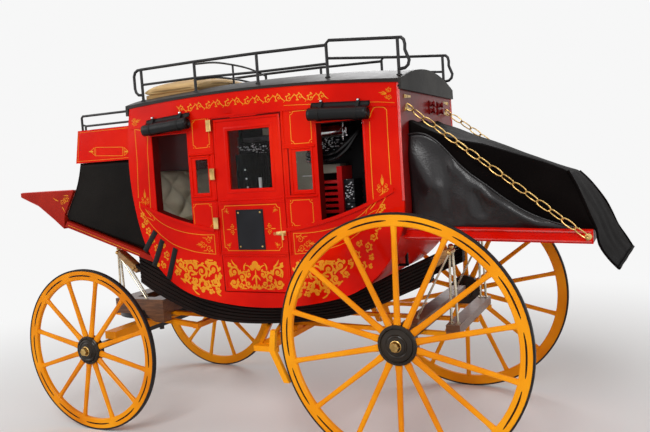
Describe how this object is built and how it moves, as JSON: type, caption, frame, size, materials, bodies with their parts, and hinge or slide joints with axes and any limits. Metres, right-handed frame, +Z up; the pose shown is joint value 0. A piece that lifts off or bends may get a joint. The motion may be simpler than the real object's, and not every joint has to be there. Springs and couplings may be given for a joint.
{
  "type": "model stagecoach with a computer in its cabin",
  "caption": "Large scale model of a strap-hung stagecoach with spoked wheels, opening doors and a turning front axle, built round a computer board.",
  "frame": {"origin": "centre of the bounding box, at the bottom, on the floor under the wheels", "axes": "+X forward, +Y to the coach's left, +Z up"},
  "size_m": [1.126, 0.444, 0.6641],
  "materials": {
    "red_paint": "glossy red paint with gold lines",
    "orange_paint": "glossy orange paint with black stripes",
    "bed_wood": "dark varnished wood",
    "tyre_iron": "black iron band",
    "black_iron": "black paint",
    "hub_black": "black paint",
    "brass": "polished",
    "leather": "black leather with a soft sheen",
    "roof_cloth": "tan painted canvas",
    "grey_panel": "dark grey paint",
    "tan_seat": "tan leather",
    "beige_cushion": "tufted beige leather",
    "floor_wood": "dark stained wood",
    "glass": "clear",
    "board": "dark circuit board",
    "tray": "dark sheet metal",
    "cards": "red and black modules",
    "cooling": "black tube and silver tank",
    "rod_steel": "satin"
  },
  "bodies": {
    "coach": {"belly": "red_paint", "board_cards": "cards", "board_tray": "tray", "brake": "orange_paint", "cabin_floor": "floor_wood", "cabin_seat": "beige_cushion", "chains": "brass", "circuit_board": "board", "cooling": "cooling", "curtain_rolls": "leather", "door_hinges": "brass", "end_walls": "red_paint", "fifth_wheel_top": "black_iron", "footboard": "red_paint", "front_bed": "bed_wood", "front_boot": "leather", "perches": "orange_paint", "quarter_glass": "glass", "rails": "black_iron", "rear_axle": "black_iron", "rear_axle_nuts": "brass", "rear_bed": "bed_wood", "rear_boot": "leather", "rear_rack": "red_paint", "roof": "roof_cloth", "roof_ends": "grey_panel", "roof_seat": "tan_seat", "seat_box": "red_paint", "side_walls": "red_paint", "stands": "rod_steel", "thoroughbraces": "leather"},
    "front_gear": {"front_axle": "black_iron", "front_axle_nuts": "brass", "front_hounds": "orange_paint", "fifth_wheel_low": "black_iron"},
    "door_left": {"door_left": "red_paint", "door_glass_left": "glass"},
    "wheel_front_left": {"wheel_front_left_tyre": "tyre_iron", "wheel_front_left_wood": "orange_paint", "wheel_front_left_hub": "hub_black"},
    "wheel_rear_left": {"wheel_rear_left_tyre": "tyre_iron", "wheel_rear_left_wood": "orange_paint", "wheel_rear_left_hub": "hub_black"},
    "door_right": {"door_right": "red_paint", "door_glass_right": "glass"},
    "wheel_front_right": {"wheel_front_right_tyre": "tyre_iron", "wheel_front_right_wood": "orange_paint", "wheel_front_right_hub": "hub_black"},
    "wheel_rear_right": {"wheel_rear_right_tyre": "tyre_iron", "wheel_rear_right_wood": "orange_paint", "wheel_rear_right_hub": "hub_black"}
  },
  "joints": [
    {"name": "steering", "type": "hinge", "parent": "coach", "child": "front_gear", "pos_m": [0.351, 0, 0.18], "axis": [0, 0, 1], "range_deg": [-18, 18]},
    {"name": "spin_front_left", "type": "hinge", "parent": "front_gear", "child": "wheel_front_left", "pos_m": [0.351, 0.204, 0.15], "axis": [0, 1, 0], "continuous": true},
    {"name": "spin_front_right", "type": "hinge", "parent": "front_gear", "child": "wheel_front_right", "pos_m": [0.351, -0.204, 0.15], "axis": [0, 1, 0], "continuous": true},
    {"name": "spin_rear_left", "type": "hinge", "parent": "coach", "child": "wheel_rear_left", "pos_m": [-0.251, 0.204, 0.1937], "axis": [0, 1, 0], "continuous": true},
    {"name": "spin_rear_right", "type": "hinge", "parent": "coach", "child": "wheel_rear_right", "pos_m": [-0.251, -0.204, 0.1937], "axis": [0, 1, 0], "continuous": true},
    {"name": "swing_door_left", "type": "hinge", "parent": "coach", "child": "door_left", "pos_m": [0.0798, 0.158, 0.4], "axis": [0, 0, -1], "range_deg": [0, 95]},
    {"name": "swing_door_right", "type": "hinge", "parent": "coach", "child": "door_right", "pos_m": [0.0798, -0.158, 0.4], "axis": [0, 0, 1], "range_deg": [0, 95]}
  ]
}
